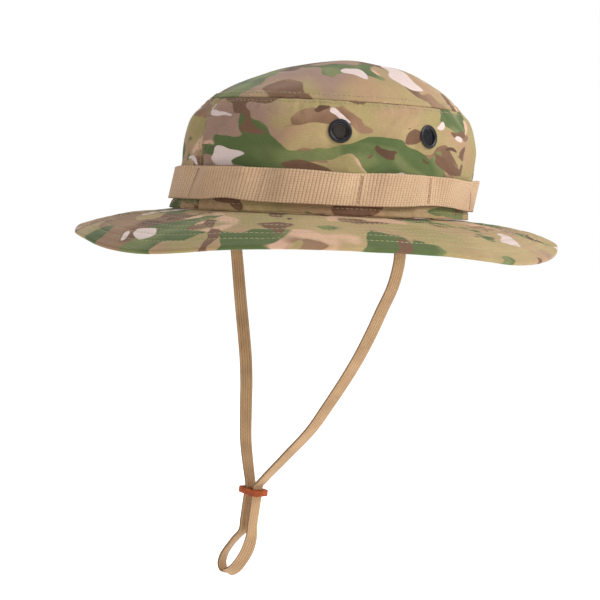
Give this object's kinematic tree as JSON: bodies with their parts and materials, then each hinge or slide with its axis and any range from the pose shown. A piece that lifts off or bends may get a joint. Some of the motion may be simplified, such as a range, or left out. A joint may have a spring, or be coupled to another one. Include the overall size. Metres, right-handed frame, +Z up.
{
  "type": "boonie hat",
  "caption": "Soft round-crowned sun hat with a wide wavy stitched brim, webbing foliage band, screened vents and a hanging chin cord with a sliding leather keeper",
  "frame": {"origin": "the middle of the head opening, level with the seam where the crown meets the brim", "axes": "+Z up through the crown, -Y toward the front of the hat, +X toward the wearer's left ear"},
  "size_m": [0.2888, 0.3188, 0.3359],
  "materials": {
    "camo_cloth": "woven cotton blend with a blotched khaki, green, brown and pale pink print",
    "binding_tape": "plain woven khaki tape",
    "sweatband_cloth": "plain olive cotton",
    "interlining_cloth": "stiff undyed interlining",
    "label_cloth": "plain pale woven label, blank",
    "webbing": "tan ribbed webbing",
    "thread": "tan sewing thread",
    "black_enamel": "black enamelled steel",
    "vent_screen": "black woven wire screen",
    "braided_cord": "flat ribbed braid, tan",
    "keeper_leather": "orange-brown leather"
  },
  "bodies": {
    "hat": {"crown_top": "camo_cloth", "crown_side_left": "camo_cloth", "crown_side_right": "camo_cloth", "crown_seam_binding": "binding_tape", "front_seam_tape": "binding_tape", "back_seam_tape": "binding_tape", "sweatband": "sweatband_cloth", "size_label": "label_cloth", "brim_top": "camo_cloth", "brim_interlining": "interlining_cloth", "brim_bottom": "camo_cloth", "foliage_band": "webbing", "band_bar_1": "thread", "band_bar_2": "thread", "band_bar_3": "thread", "band_bar_4": "thread", "band_bar_5": "thread", "band_bar_6": "thread", "band_bar_7": "thread", "band_bar_8": "thread", "band_bar_9": "thread", "band_bar_10": "thread", "vent_eyelet_front_left": "black_enamel", "vent_washer_front_left": "black_enamel", "vent_screen_front_left": "vent_screen", "vent_eyelet_rear_left": "black_enamel", "vent_washer_rear_left": "black_enamel", "vent_screen_rear_left": "vent_screen", "vent_eyelet_front_right": "black_enamel", "vent_washer_front_right": "black_enamel", "vent_screen_front_right": "vent_screen", "vent_eyelet_rear_right": "black_enamel", "vent_washer_rear_right": "black_enamel", "vent_screen_rear_right": "vent_screen", "cord_anchor_left": "binding_tape", "cord_anchor_right": "binding_tape"},
    "chin_cord": {"chin_cord": "braided_cord"},
    "keeper": {"cord_keeper": "keeper_leather"}
  },
  "joints": [
    {"name": "cord_swing", "type": "hinge", "parent": "hat", "child": "chin_cord", "pos_m": [0.078, -0.0068, 0.004], "axis": [1, 0, 0], "range_deg": [-60, 60]},
    {"name": "keeper_slide", "type": "slide", "parent": "chin_cord", "child": "keeper", "axis": [-0.1478, 0, -0.989], "range_m": [0, 0.018]}
  ]
}
